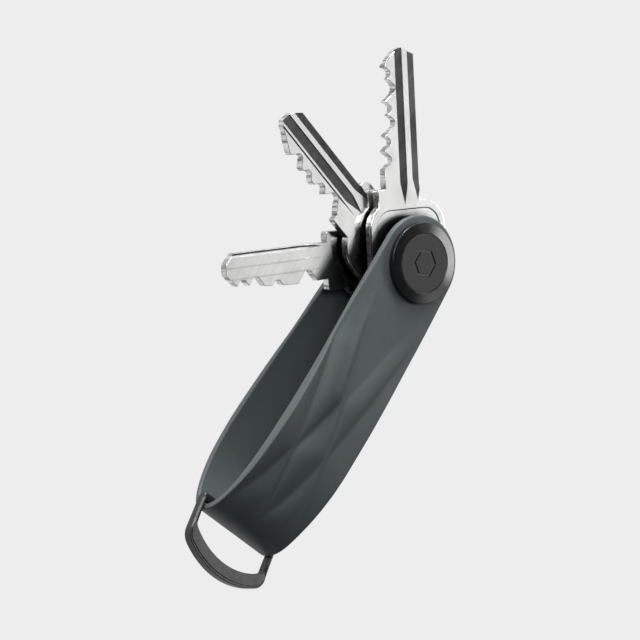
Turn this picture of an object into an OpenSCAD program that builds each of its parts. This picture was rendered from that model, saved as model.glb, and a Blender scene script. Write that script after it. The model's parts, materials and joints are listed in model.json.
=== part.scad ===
// Folding key organiser: a flexible band is folded into a loop, and a screw post clamps its two
// ends together. Keys turn on the post between the band's ends, and a ring hangs in the fold.
// The origin is the centre of the front button's flat face, on the post's axis.
// +Z points out of the front button, and +X points from the post to the fold.

/* [Band] */
// Thickness of the band
band_t = 1.4; // [1.2:0.1:1.6]
// Width of the band's round ends
band_end_w = 19.3; // [18.5:0.1:20]
// Width of the band halfway along
band_mid_w = 20; // [19:0.1:20.5]
// Width of the band at the fold
band_fold_w = 19.1; // [18:0.1:19.4]
// Distance from the post's axis to the outside of the fold
loop_len = 65.2; // [64:0.1:67]
// Depth of the fold's tip below the front strap's outer face
fold_drop = 12.35; // [11:0.05:13]
// Depth of the back strap's lowest point below the front strap's outer face
belly_drop = 18.25; // [17:0.05:19]

/* [Buttons] */
// Diameter of the two buttons
button_d = 16.5; // [15:0.1:18]
// Height of a button's side wall
button_wall_h = 1.15; // [0.9:0.05:1.2]
// Full height of a button
button_h = 1.45; // [1.4:0.05:1.6]
// Diameter of the flat inlay in the front button
inlay_d = 12; // [10:0.1:13]
// Width of the coin slot in the screw head
slot_w = 1.7; // [1.4:0.1:2]

/* [Post] */
// Outer diameter of the post that the keys turn on
post_d = 6; // [5:0.1:6]
// Diameter of the screw shank, at the outside of its thread
screw_d = 4; // [3:0.1:4]
// Diameter of the spacers between the keys
spacer_d = 12; // [11:0.1:14]

/* [Keys] */
// Thickness of a key
key_t = 1.8; // [1.6:0.05:1.85]
// Direction that the front key's blade points, measured from +X
key_1_angle = -140.2; // [-150:0.1:-120]
// Direction that the middle key's blade points
key_2_angle = -98.9; // [-110:0.1:-80]
// Direction that the rear key's blade points
key_3_angle = -49.7; // [-60:0.1:-40]

/* [Ring] */
// Width of the ring across the outside of its legs
ring_w = 21.6; // [21.2:0.1:23]
// Width of one leg
ring_leg_w = 1; // [0.9:0.05:1.1]
// Thickness of the ring and diameter of its bar
ring_t = 1.9; // [1.6:0.05:2]
// Distance from the bar's axis to the outside of the bow
ring_reach = 12.4; // [11:0.1:13]
// Width of the bow at its middle
ring_bow_w = 3; // [2.4:0.1:3.4]
// How far the ring leans from level towards the front strap
ring_lean = 12; // [0:1:20]

/* [Hidden] */
$fn = 96;

// Small distances
play = 0.05;          // clearance between pieces that turn against each other
cut = 1;              // how far a cutting shape runs past what it cuts
key_hole_d = post_d + 0.14;

// The stack on the post, from the front strap's outer face downwards
spacer_t = [1.55, 0.7, 0.7, 1.05];
front_face_z = -button_h;
front_inner_z = front_face_z - band_t;
function spacer_top(i) = i == 0 ? front_inner_z
    : spacer_top(i - 1) - spacer_t[i - 1] - key_t - 2 * play;
function key_top(i) = spacer_top(i) - spacer_t[i] - play;
back_inner_z = spacer_top(3) - spacer_t[3];
back_face_z = back_inner_z - band_t;
back_button_z = back_face_z - play;
back_rest_z = back_button_z - button_h;

// Side profile of the band's outer face: straight, then three cubic curves round the loop
straight_len = 20.7;
profile_steps = 18;
back_clamp_x = 9;
fold_x = loop_len;
fold_z = front_face_z - fold_drop;
belly_x = 51.6;
belly_z = front_face_z - belly_drop;
front_curve = [[straight_len, front_face_z], [straight_len + 22, front_face_z],
    [fold_x, fold_z + 10], [fold_x, fold_z]];
fold_curve = [[fold_x, fold_z], [fold_x, fold_z - 3.5],
    [belly_x + 7.2, belly_z], [belly_x, belly_z]];
back_curve = [[belly_x, belly_z], [belly_x - 10.5, belly_z],
    [back_clamp_x + 3.6, back_face_z], [back_clamp_x, back_face_z]];

function cubic(p, u) = pow(1 - u, 3) * p[0] + 3 * pow(1 - u, 2) * u * p[1]
    + 3 * (1 - u) * u * u * p[2] + pow(u, 3) * p[3];
function cubic_slope(p, u) = 3 * pow(1 - u, 2) * (p[1] - p[0])
    + 6 * (1 - u) * u * (p[2] - p[1]) + 3 * u * u * (p[3] - p[2]);
// Point on a cubic moved to the right of its direction of travel, which is the loop's inside
function inset_point(p, u, d) = let (s = cubic_slope(p, u), q = cubic(p, u))
    [q[0] + d * s[1] / norm(s), q[1] - d * s[0] / norm(s)];
function inset_curve(p, d) = [for (i = [1 : profile_steps]) inset_point(p, i / profile_steps, d)];
function reversed(list) = [for (i = [len(list) - 1 : -1 : 0]) list[i]];

// Pieces that ride in the band's ends
eyelet_d = 9;
eyelet_ridge_d = 10;
eyelet_ridge_h = 0.5;

// Buttons and screw
hex_af = 7;
hex_h = 0.6;
inlay_recess = 0.6;
inlay_t = 0.58;
screw_head_d = 9;
screw_head_h = 0.95;
slot_depth = 0.6;
washer_d = 10.4;
washer_t = 0.3;
thread_len = 8.6;
bore_len = 9.2;
post_short = 0.25;    // how far the post's open end stops short of the back strap's outer face

// Ring
bar_x = 62.5;
bar_z = front_face_z - 11.9;
ring_outer_r = 18.1;
ring_inner_r = 16.2;
ring_outer_corner = 3.2;
ring_inner_corner = 1;

/* ---- shared shapes ---- */

// Flat ring lying with its top at height z
module washer(d, hole_d, t, z) {
    difference() {
        translate([0, 0, z - t]) cylinder(d = d, h = t);
        translate([0, 0, z - t - cut]) cylinder(d = hole_d, h = t + 2 * cut);
    }
}

// Rectangle with round corners, from two corner points
module round_rect(low, high, r) {
    translate([low[0] + r, low[1]]) square([high[0] - low[0] - 2 * r, high[1] - low[1]]);
    translate([low[0], low[1] + r]) square([high[0] - low[0], high[1] - low[1] - 2 * r]);
    for (x = [low[0] + r, high[0] - r], y = [low[1] + r, high[1] - r])
        translate([x, y]) circle(r = r);
}

// Straight sides closed by a shallow arc, with round corners between them
module bow_outline(half_w, crown, arc_r, corner_r) {
    arc_x = crown - arc_r;
    corner_y = half_w - corner_r;
    corner_x = sqrt(pow(arc_r - corner_r, 2) - corner_y * corner_y);
    translate([0, -half_w]) square([arc_x + corner_x, 2 * half_w]);
    for (s = [-1, 1])
        translate([arc_x + corner_x, s * corner_y]) circle(r = corner_r);
    intersection() {
        translate([arc_x, 0]) circle(r = arc_r);
        translate([arc_x, 0]) polygon([[0, 0], 2 * [corner_x, -corner_y], 2 * [corner_x, corner_y]]);
    }
}

/* ---- band ---- */

// One face of the band, from the front strap's end round the loop to the back strap's end
function loop_face(d) = concat(
    [[-band_end_w, front_face_z - d], [straight_len, front_face_z - d]],
    inset_curve(front_curve, d), inset_curve(fold_curve, d), inset_curve(back_curve, d),
    [[-band_end_w, back_face_z + d]]);

module band_side() {
    polygon(concat(loop_face(0), reversed(loop_face(band_t))));
}

module band_top() {
    sides = [[15, band_mid_w / 2], [45, band_mid_w / 2], [loop_len + cut, band_fold_w / 2]];
    round_end = [for (a = [90 : 7.5 : 270]) band_end_w / 2 * [cos(a), sin(a)]];
    polygon(concat(reversed(sides), round_end, [for (p = sides) [p[0], -p[1]]]));
}

// Space for an eyelet, with the groove that its ridge sits in
module eyelet_space(z) {
    translate([0, 0, z - band_t - cut]) cylinder(d = eyelet_d, h = band_t + 2 * cut);
    translate([0, 0, z - band_t / 2 - eyelet_ridge_h / 2]) cylinder(d = eyelet_ridge_d, h = eyelet_ridge_h);
}

module band() {
    color("#434a4a") difference() {
        intersection() {
            rotate([90, 0, 0]) linear_extrude(height = 2 * band_mid_w, center = true) band_side();
            translate([0, 0, belly_z - cut]) linear_extrude(height = belly_drop + 2 * cut) band_top();
        }
        eyelet_space(front_face_z);
        eyelet_space(back_face_z + band_t);
    }
}

module eyelet(z) {
    color("#2c2e2f") {
        washer(eyelet_d, post_d + 0.1, band_t, z);
        washer(eyelet_ridge_d, eyelet_d - 0.2, eyelet_ridge_h, z - band_t / 2 + eyelet_ridge_h / 2);
    }
}

module front_eyelet() {
    eyelet(front_face_z);
}

module back_eyelet() {
    eyelet(back_inner_z);
}

/* ---- front button and post ---- */

// Round button standing on z = 0, with a shallow cone between its wall and its flat face
module button_blank() {
    rotate_extrude() polygon([[0, 0], [button_d / 2, 0], [button_d / 2, button_wall_h],
        [inlay_d / 2, button_h], [0, button_h]]);
}

module front_button() {
    color("#161718") difference() {
        translate([0, 0, front_face_z]) button_blank();
        translate([0, 0, -inlay_recess]) cylinder(d = inlay_d, h = inlay_recess + cut);
        translate([0, 0, front_face_z - cut]) cylinder(d = hex_af / cos(30), h = hex_h + cut, $fn = 6);
    }
}

// Flat disc with a shallow six-sided groove
module button_inlay() {
    groove_d = 5;
    groove_w = 0.45;
    color("#3a3b3c") difference() {
        translate([0, 0, -inlay_t]) cylinder(d = inlay_d - 0.04, h = inlay_t);
        difference() {
            translate([0, 0, -0.15]) cylinder(d = groove_d, h = cut, $fn = 6);
            translate([0, 0, -0.15 - cut]) cylinder(d = groove_d - 2 * groove_w, h = 3 * cut, $fn = 6);
        }
    }
}

module post() {
    post_end_z = back_face_z + post_short;
    color("#8d8f92") difference() {
        union() {
            translate([0, 0, front_face_z]) cylinder(d = (hex_af - 0.1) / cos(30), h = hex_h - 0.02, $fn = 6);
            translate([0, 0, post_end_z]) cylinder(d = post_d, h = front_face_z - post_end_z);
        }
        translate([0, 0, post_end_z - cut]) cylinder(d = screw_d + 2 * play, h = bore_len + cut);
    }
}

module spacer(i) {
    color("#1c1d1e") washer(spacer_d, post_d + 0.06, spacer_t[i], spacer_top(i));
}

/* ---- keys ---- */

// Each key lies along +X with its hole at the origin and its cut edge towards +Y
cut_flat = 1;         // flat width at the bottom of a cut
cut_slope = 1.3;      // steepness of a cut's sides
rim_w = 1.5;          // width of the raised rim round a key's bow
rim_h = 0.2;          // height of that rim on each face

// One wedge that the key machine takes out of the blade, down to the height in place[1]
module key_cut(place) {
    translate([place[0], place[1]]) polygon([[-cut_flat / 2, 0], [cut_flat / 2, 0],
        [cut_flat / 2 + 9 / cut_slope, 9], [-cut_flat / 2 - 9 / cut_slope, 9]]);
}

module blade(outline, cuts) {
    difference() {
        polygon(outline);
        for (place = cuts) key_cut(place);
    }
}

// Long groove with a pointed run-out at the bow end: low and high edges, start, and depth
module groove(low, high, start, depth, side) {
    middle = (low + high) / 2;
    translate([0, 0, side > 0 ? -depth : -key_t - cut])
        linear_extrude(height = depth + cut)
            polygon([[start, middle], [start + 4, low], [60, low], [60, high], [start + 4, high]]);
}

// Key with its upper face at z = 0
module key_body(bow_low, bow_high, bow_r, outline, cuts, shoulder) {
    inner_low = [bow_low[0] + rim_w, bow_low[1] + rim_w];
    inner_high = [bow_high[0] - rim_w, bow_high[1] - rim_w];
    difference() {
        translate([0, 0, -key_t]) linear_extrude(height = key_t) {
            round_rect(bow_low, bow_high, bow_r);
            blade(outline, cuts);
            translate(shoulder[0]) square(shoulder[1] - shoulder[0]);
        }
        for (z = [-rim_h, -key_t - cut]) translate([0, 0, z])
            linear_extrude(height = cut + rim_h) round_rect(inner_low, inner_high, bow_r - rim_w);
        translate([0, 0, -key_t - cut]) cylinder(d = key_hole_d, h = key_t + 2 * cut);
    }
}

module placed_key(i, angle) {
    color("#d9dadb") rotate([0, 0, angle]) translate([0, 0, key_top(i)]) children();
}

module key_1() {
    outline = [[5, -3.4], [42, -3.4], [43.4, -0.2], [43, 1.2], [41, 3.7], [39.6, 4.4], [19.2, 5.5], [5, 5.9]];
    cuts = [[38.2, 3.1], [35.3, 1.9], [31.2, 3.2], [28.4, 2.4], [24.6, 3.8], [21, 3.7]];
    placed_key(0, key_1_angle) difference() {
        key_body([-7, -9.9], [12.5, 10.1], 5.5, outline, cuts, [[11, -3.4], [15.2, 7.6]]);
        groove(-0.3, 1.7, 11.7, 0.55, 1);
        groove(-3.7, -1.6, 12.5, 0.4, 1);
        groove(2.2, 4.2, 12.5, 0.5, -1);
    }
}

module key_2() {
    outline = [[5, -3.2], [39.2, -3.2], [41.2, -1], [41.4, 1.1], [40.5, 2.2], [36, 4.6], [19, 5], [5, 5]];
    cuts = [[33.6, 3], [29.8, 3.7], [25.6, 3.2], [21.9, 2.1]];
    placed_key(1, key_2_angle) difference() {
        key_body([-7, -9.5], [14.5, 9.7], 6, outline, cuts, [[13, -5.4], [18.9, 6.4]]);
        groove(-3.5, -1.7, 14.7, 0.35, 1);
        groove(-0.7, 1.5, 14.6, 0.35, 1);
        groove(2.2, 3.2, 14.6, 0.3, -1);
    }
}

module key_3() {
    outline = [[5, -5.7], [40, -5.7], [42, -3.7], [42.2, -1.6], [40.9, -0.5], [39.6, 0.9],
        [37.2, 1.1], [26.5, 1.9], [18, 1.7], [5, 1.7]];
    cuts = [[38.3, -0.3], [35.1, -0.6], [30, 0.6], [22.4, -0.7]];
    placed_key(2, key_3_angle) difference() {
        key_body([-7, -10], [13, 7], 5.5, outline, cuts, [[12, -7.8], [17.3, 4.1]]);
        groove(-4.1, -2.7, 15.5, 0.3, 1);
        groove(-2.2, -0.8, 15.5, 0.3, -1);
    }
}

/* ---- screw at the back ---- */

module friction_washer() {
    color("#d8d6cf") washer(washer_d, screw_d + 0.2, washer_t, back_face_z - play / 2);
}

module back_button() {
    color("#161718") difference() {
        translate([0, 0, back_button_z]) rotate([180, 0, 0]) button_blank();
        translate([0, 0, back_button_z - washer_t - play / 2]) cylinder(d = washer_d + 0.2, h = cut + washer_t);
        translate([0, 0, back_rest_z - cut]) cylinder(d = screw_head_d + 2 * play, h = screw_head_h + cut);
        translate([0, 0, back_rest_z - cut]) cylinder(d = screw_d + 2 * play, h = button_h + 2 * cut);
    }
}

module coin_screw() {
    head_top_z = back_rest_z + screw_head_h;
    color("#8d8f92") difference() {
        union() {
            translate([0, 0, back_rest_z]) cylinder(d = screw_head_d, h = screw_head_h);
            translate([0, 0, head_top_z]) cylinder(d = screw_d, h = thread_len + back_face_z - head_top_z);
        }
        translate([-screw_head_d, -slot_w / 2, back_rest_z - cut]) cube([2 * screw_head_d, slot_w, slot_depth + cut]);
    }
}

/* ---- ring in the fold ---- */

module ring() {
    bar_r = ring_t / 2;
    color("#232425") translate([bar_x, 0, bar_z]) rotate([0, -ring_lean, 0]) {
        translate([0, 0, -ring_t / 2]) linear_extrude(height = ring_t) difference() {
            bow_outline(ring_w / 2, ring_reach, ring_outer_r, ring_outer_corner);
            translate([-cut, 0]) square([2 * cut, ring_w - 2 * ring_leg_w], center = true);
            bow_outline(ring_w / 2 - ring_leg_w, ring_reach - ring_bow_w, ring_inner_r, ring_inner_corner);
        }
        rotate([90, 0, 0]) cylinder(r = bar_r, h = ring_w, center = true);
    }
}

band();
front_eyelet();
back_eyelet();
front_button();
button_inlay();
post();
spacer(0);  // spacer_1
spacer(1);  // spacer_2
spacer(2);  // spacer_3
spacer(3);  // spacer_4
key_1();
key_2();
key_3();
friction_washer();
back_button();
coin_screw();
ring();
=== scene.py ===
# Looks of the folding key organiser: detailed meshes and materials round its CAD frame.
# Shapes are worked out in millimetres, in the CAD's own frame, and scaled to metres as they are made.
import json
import math

import bpy
import numpy as np
from mathutils import Matrix, Vector


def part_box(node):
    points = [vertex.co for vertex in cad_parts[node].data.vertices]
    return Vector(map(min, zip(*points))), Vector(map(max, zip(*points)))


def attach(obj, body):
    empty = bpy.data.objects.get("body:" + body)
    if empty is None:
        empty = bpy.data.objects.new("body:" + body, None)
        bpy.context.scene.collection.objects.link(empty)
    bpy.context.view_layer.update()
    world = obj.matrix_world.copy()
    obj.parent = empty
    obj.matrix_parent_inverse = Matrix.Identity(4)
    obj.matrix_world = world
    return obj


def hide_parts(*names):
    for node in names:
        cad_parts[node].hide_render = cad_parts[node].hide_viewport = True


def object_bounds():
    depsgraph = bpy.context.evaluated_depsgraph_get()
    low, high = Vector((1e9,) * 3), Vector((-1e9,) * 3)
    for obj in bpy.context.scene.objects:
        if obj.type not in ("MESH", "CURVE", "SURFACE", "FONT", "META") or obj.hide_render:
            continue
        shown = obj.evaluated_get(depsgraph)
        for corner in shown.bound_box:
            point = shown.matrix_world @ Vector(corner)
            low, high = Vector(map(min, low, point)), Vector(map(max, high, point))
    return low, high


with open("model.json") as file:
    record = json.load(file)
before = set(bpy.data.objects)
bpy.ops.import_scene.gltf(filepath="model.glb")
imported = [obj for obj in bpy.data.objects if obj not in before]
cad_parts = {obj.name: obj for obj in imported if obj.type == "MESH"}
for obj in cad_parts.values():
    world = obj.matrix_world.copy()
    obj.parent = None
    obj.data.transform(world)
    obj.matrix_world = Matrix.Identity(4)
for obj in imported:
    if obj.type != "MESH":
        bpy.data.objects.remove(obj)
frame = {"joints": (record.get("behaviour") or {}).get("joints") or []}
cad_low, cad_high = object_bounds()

MM = 0.001


def box_mm(node):
    """Lowest and highest corner of a CAD node, in millimetres."""
    low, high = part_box(node)
    return np.array(low) / MM, np.array(high) / MM


# ---- sizes from the frame ----
band_low, band_high = box_mm("band")
front_z = band_high[2]                       # outer face of the front strap
fold_x = band_high[0]                        # outermost place of the fold
belly_z = band_low[2]                        # outermost place of the back strap
end_r = -band_low[0]                         # radius of the band's round ends
band_half_w = band_high[1]
band_t = np.ptp([c[2] for c in box_mm("front_eyelet")])
back_z = box_mm("back_eyelet")[0][2]         # outer face of the back strap
button_r = box_mm("front_button")[1][0]
inlay_r = box_mm("button_inlay")[1][0]
eyelet_ridge_r = box_mm("front_eyelet")[1][0]
spacer_r = box_mm("spacer_1")[1][0]
BUTTON_WALL = 1.15                           # height of a button's upright wall
THREAD_PITCH = 0.7
post_r = spacer_r - 3                        # the spacers' wall is 3 mm wide
back_rest_z = box_mm("back_button")[0][2]    # flat outer face of the back button
eyelet_r = eyelet_ridge_r - 0.5              # the ridge stands out by 0.5 mm


# ---- small geometry helpers ----
def arc(cx, cy, r, start, end, steps=10):
    """Points on an arc from one angle to another, in degrees."""
    angles = np.radians(np.linspace(start, end, steps + 1))
    return [(cx + r * math.cos(a), cy + r * math.sin(a)) for a in angles]


def rounded(corners, steps=6):
    """Closed outline from (x, y, radius) corners, each rounded to its radius."""
    out = []
    count = len(corners)
    for i, (x, y, r) in enumerate(corners):
        here = np.array([x, y], float)
        before = np.array(corners[i - 1][:2], float) - here
        after = np.array(corners[(i + 1) % count][:2], float) - here
        if r <= 0:
            out.append((x, y))
            continue
        before /= np.linalg.norm(before)
        after /= np.linalg.norm(after)
        half = math.acos(np.clip(before @ after, -1, 1)) / 2
        reach = r / math.tan(half)
        centre = here + (before + after) / np.linalg.norm(before + after) * r / math.sin(half)
        first = here + before * reach - centre
        last = here + after * reach - centre
        turn = math.atan2(first[0] * last[1] - first[1] * last[0], first @ last)
        start = math.atan2(first[1], first[0])
        for k in range(steps + 1):
            a = start + turn * k / steps
            out.append((centre[0] + r * math.cos(a), centre[1] + r * math.sin(a)))
    return out


def normals_of(outline):
    """Outward unit normals of a closed anticlockwise outline, with mitred lengths at its corners."""
    p = np.array(outline, float)
    ahead = np.roll(p, -1, 0) - p
    ahead /= np.linalg.norm(ahead, axis=1)[:, None] + 1e-12
    behind = np.roll(ahead, 1, 0)
    n = np.stack([(ahead + behind)[:, 1], -(ahead + behind)[:, 0]], 1)
    n /= np.linalg.norm(n, axis=1)[:, None] + 1e-12
    edge_n = np.stack([ahead[:, 1], -ahead[:, 0]], 1)
    return n / np.clip((n * edge_n).sum(1), 0.6, 1)[:, None]


def grid_faces(rings, count):
    """Quads between rings of count points each, numbered one after another."""
    faces = []
    for k in range(rings - 1):
        a, b = k * count, (k + 1) * count
        faces += [(a + i, a + (i + 1) % count, b + (i + 1) % count, b + i) for i in range(count)]
    return faces


def caps(rings, count):
    """Faces that close the first and the last of rings of count points each."""
    return [tuple(range(count - 1, -1, -1)), tuple(range((rings - 1) * count, rings * count))]


def new_object(name, points, faces, materials=(), indices=None):
    mesh = bpy.data.meshes.new(name)
    mesh.from_pydata([tuple(np.array(p, float) * MM) for p in points], [], faces)
    mesh.update()
    obj = bpy.data.objects.new(name, mesh)
    bpy.context.scene.collection.objects.link(obj)
    for material in materials:
        mesh.materials.append(material)
    if indices is not None:
        mesh.polygons.foreach_set("material_index", indices)
    return obj


def baked(obj):
    """Applies an object's modifiers to its mesh."""
    depsgraph = bpy.context.evaluated_depsgraph_get()
    mesh = bpy.data.meshes.new_from_object(obj.evaluated_get(depsgraph))
    obj.modifiers.clear()
    obj.data = mesh
    return obj


def boolean(obj, cutters, operation="DIFFERENCE"):
    """Cuts each cutter out of obj, or joins it on, and deletes the cutters."""
    for cutter in cutters:
        modifier = obj.modifiers.new("boolean", "BOOLEAN")
        modifier.operation = operation
        modifier.object = cutter
        modifier.solver = "EXACT"
        modifier.material_mode = "TRANSFER"
    baked(obj)
    for cutter in cutters:
        bpy.data.objects.remove(cutter)
    return obj


def smooth(obj, angle=32, weighted=True):
    """Smooth shading that keeps the edges sharper than angle, with flat faces left flat."""
    obj.data.shade_smooth()
    obj.data.set_sharp_from_angle(angle=math.radians(angle))
    if weighted:
        modifier = obj.modifiers.new("normals", "WEIGHTED_NORMAL")
        modifier.keep_sharp = True
        baked(obj)
    return obj


def fit(obj, body, slot, *nodes):
    """Puts a finished piece under the empty of its CAD body and hides the CAD nodes that it stands for; slot
    is not used.
    """
    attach(obj, body)
    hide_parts(*nodes)
    return obj


def lathe(name, profile, materials, segments=144, bands=None, sides=None):
    """Solid turned about the Z axis from a closed (radius, z) profile. Points on the axis are shared.
    bands gives the material index of the face after each profile point; sides may swap a round
    section for a polygon: {point index: number of sides}."""
    points, rings = [], []
    for i, (r, z) in enumerate(profile):
        if r < 1e-6:
            rings.append([len(points)])
            points.append((0, 0, z))
            continue
        ring = []
        for k in range(segments):
            a = 2 * math.pi * k / segments
            reach = r
            if sides and i in sides:
                step = 2 * math.pi / sides[i]
                reach = r * math.cos(step / 2) / math.cos((a % step) - step / 2)
            ring.append(len(points))
            points.append((reach * math.cos(a), reach * math.sin(a), z))
        rings.append(ring)
    faces, indices = [], []
    for i, ring in enumerate(rings):
        after = rings[(i + 1) % len(rings)]
        if len(ring) == 1 and len(after) == 1:
            continue
        for k in range(segments):
            k2 = (k + 1) % segments
            if len(ring) == 1:
                faces.append((ring[0], after[k2], after[k]))
            elif len(after) == 1:
                faces.append((ring[k], ring[k2], after[0]))
            else:
                faces.append((ring[k], ring[k2], after[k2], after[k]))
            indices.append(bands[i] if bands else 0)
    return new_object(name, points, faces, materials, indices)


def chamfered(points, radius=0.08, steps=3):
    """Lathe profile with its corners off the axis rounded."""
    corners = [(r, z, radius if r > 1e-6 else 0) for r, z in points]
    return rounded(corners, steps)


def prism(name, outline, z_low, z_high, materials, edge=0.1, steps=3, wall_index=0):
    """Upright solid on a closed anticlockwise outline, with edge the rounding of its rims.
    edge may be one number or one for each outline point. wall_index is the upright wall's material."""
    flat = np.array(outline, float)
    inward = -normals_of(outline)
    radius = np.broadcast_to(np.asarray(edge, float), (len(flat),))[:, None]
    lower, upper = [], []
    for k in range(steps + 1):
        a = math.pi / 2 * k / steps
        inset = radius * (1 - math.sin(a))
        rise = radius * (1 - math.cos(a))
        lower.append(np.hstack([flat + inward * inset, z_low + rise]))
        upper.append(np.hstack([flat + inward * inset, z_high - rise]))
    rings = lower + upper[::-1]
    count = len(flat)
    points = np.vstack(rings)
    faces = grid_faces(len(rings), count) + caps(len(rings), count)
    indices = [0] * len(faces)
    indices[steps * count:(steps + 1) * count] = [wall_index] * count
    return new_object(name, points, faces, materials, indices)


# ---- materials ----
def node_material(name):
    """New node material: the material, its tree and its Principled shader."""
    material = bpy.data.materials.new(name)
    material.use_nodes = True
    tree = material.node_tree
    return material, tree, tree.nodes["Principled BSDF"]


def noise(tree, scale, detail=3, roughness=0.5, stretch=(1, 1, 1)):
    """Noise in the piece's own coordinates; scale is in features per metre."""
    place = tree.nodes.new("ShaderNodeTexCoord")
    mapping = tree.nodes.new("ShaderNodeMapping")
    mapping.inputs["Scale"].default_value = stretch
    texture = tree.nodes.new("ShaderNodeTexNoise")
    texture.inputs["Scale"].default_value = scale
    texture.inputs["Detail"].default_value = detail
    texture.inputs["Roughness"].default_value = roughness
    tree.links.new(place.outputs["Object"], mapping.inputs["Vector"])
    tree.links.new(mapping.outputs["Vector"], texture.inputs["Vector"])
    return texture.outputs["Fac"]


def ramp(tree, value, stops):
    """Colour ramp on a value; stops are (position, colour) pairs. A number stands for a grey."""
    node = tree.nodes.new("ShaderNodeValToRGB")
    elements = node.color_ramp.elements
    while len(elements) < len(stops):
        elements.new(0.5)
    for element, (position, colour) in zip(elements, stops):
        element.position = position
        rgb = (colour,) * 3 if isinstance(colour, (int, float)) else colour
        element.color = (*rgb, 1)
    tree.links.new(value, node.inputs["Fac"])
    return node.outputs["Color"]


def vary(tree, shader, socket, scale, detail, low, high):
    """Lets fine noise move one of the shader's sockets between two values."""
    tree.links.new(ramp(tree, noise(tree, scale, detail), [(0.3, low), (0.7, high)]), shader.inputs[socket])


def bump(tree, shader, layers):
    """Chains bump layers of (height, strength, distance in mm) into the shader's normal."""
    previous = None
    for height, strength, distance in layers:
        node = tree.nodes.new("ShaderNodeBump")
        node.inputs["Strength"].default_value = strength
        node.inputs["Distance"].default_value = distance * MM
        tree.links.new(height, node.inputs["Height"])
        if previous is not None:
            tree.links.new(previous, node.inputs["Normal"])
        previous = node.outputs["Normal"]
    tree.links.new(previous, shader.inputs["Normal"])


def mix(tree, factor, a, b):
    """Mixes two colour sockets by a factor socket."""
    node = tree.nodes.new("ShaderNodeMix")
    node.data_type = "RGBA"
    tree.links.new(factor, node.inputs["Factor"])
    tree.links.new(a, node.inputs["A"])
    tree.links.new(b, node.inputs["B"])
    return node.outputs["Result"]


def edge_wear(tree):
    """Mask that is 1 on convex edges."""
    geometry = tree.nodes.new("ShaderNodeNewGeometry")
    return ramp(tree, geometry.outputs["Pointiness"], [(0.52, 0.0), (0.6, 1.0)])


def band_material():
    """Soft-touch elastomer: dark grey-green, fine moulded grain, faint cloudiness."""
    material, tree, shader = node_material("band_elastomer")
    cloud = ramp(tree, noise(tree, 90, 4), [(0.3, (0.048, 0.060, 0.062)), (0.7, (0.055, 0.068, 0.070))])
    speck = ramp(tree, noise(tree, 2600, 2), [(0.35, (0.044, 0.055, 0.057)), (0.65, (0.059, 0.073, 0.075))])
    half = tree.nodes.new("ShaderNodeMix")
    half.data_type = "RGBA"
    half.inputs["Factor"].default_value = 0.5
    tree.links.new(cloud, half.inputs["A"])
    tree.links.new(speck, half.inputs["B"])
    tree.links.new(half.outputs["Result"], shader.inputs["Base Color"])
    vary(tree, shader, "Roughness", 700, 3, 0.50, 0.60)
    shader.inputs["Specular IOR Level"].default_value = 0.5
    shader.inputs["Sheen Weight"].default_value = 0.06
    shader.inputs["Sheen Roughness"].default_value = 0.5
    bump(tree, shader, [(noise(tree, 2300, 3), 0.22, 0.03), (noise(tree, 420, 2), 0.10, 0.05)])
    return material


def black_metal_material():
    """Semi-gloss black coating over metal, with the finest orange-peel."""
    material, tree, shader = node_material("button_black")
    vary(tree, shader, "Base Color", 1800, 3, 0.0012, (0.0020, 0.0020, 0.0019))
    vary(tree, shader, "Roughness", 500, 2, 0.18, 0.23)
    shader.inputs["Specular IOR Level"].default_value = 0.9
    bump(tree, shader, [(noise(tree, 1500, 2), 0.08, 0.01)])
    return material


def inlay_material():
    """Matt dark grey coating with a fine even speckle."""
    material, tree, shader = node_material("inlay_grey")
    vary(tree, shader, "Base Color", 3600, 2, 0.029, (0.039, 0.0385, 0.038))
    vary(tree, shader, "Roughness", 900, 2, 0.58, 0.68)
    shader.inputs["Specular IOR Level"].default_value = 0.3
    bump(tree, shader, [(noise(tree, 3200, 2), 0.2, 0.012)])
    return material


def ring_material():
    """Satin black finish on steel, a little brighter along its edges."""
    material, tree, shader = node_material("ring_black")
    base = ramp(tree, noise(tree, 1200, 3), [(0.3, (0.050, 0.050, 0.051)), (0.7, (0.060, 0.060, 0.061))])
    worn = ramp(tree, noise(tree, 500, 2), [(0.3, 0.060), (0.7, (0.078, 0.078, 0.077))])
    tree.links.new(mix(tree, edge_wear(tree), base, worn), shader.inputs["Base Color"])
    shader.inputs["Metallic"].default_value = 0.85
    vary(tree, shader, "Roughness", 800, 3, 0.36, 0.42)
    bump(tree, shader, [(noise(tree, 1800, 2), 0.02, 0.004)])
    return material


def around_post(tree, inner, outer):
    """Value that rises from 0 to 1 between two radii about the post's axis, in millimetres."""
    place = tree.nodes.new("ShaderNodeTexCoord")
    flat = tree.nodes.new("ShaderNodeVectorMath")
    flat.operation = "MULTIPLY"
    flat.inputs[1].default_value = (1, 1, 0)
    length = tree.nodes.new("ShaderNodeVectorMath")
    length.operation = "LENGTH"
    reach = tree.nodes.new("ShaderNodeMapRange")
    reach.interpolation_type = "SMOOTHSTEP"
    reach.inputs["From Min"].default_value = inner * MM
    reach.inputs["From Max"].default_value = outer * MM
    tree.links.new(place.outputs["Object"], flat.inputs[0])
    tree.links.new(flat.outputs["Vector"], length.inputs[0])
    tree.links.new(length.outputs["Value"], reach.inputs["Value"])
    return reach.outputs["Result"]


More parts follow.
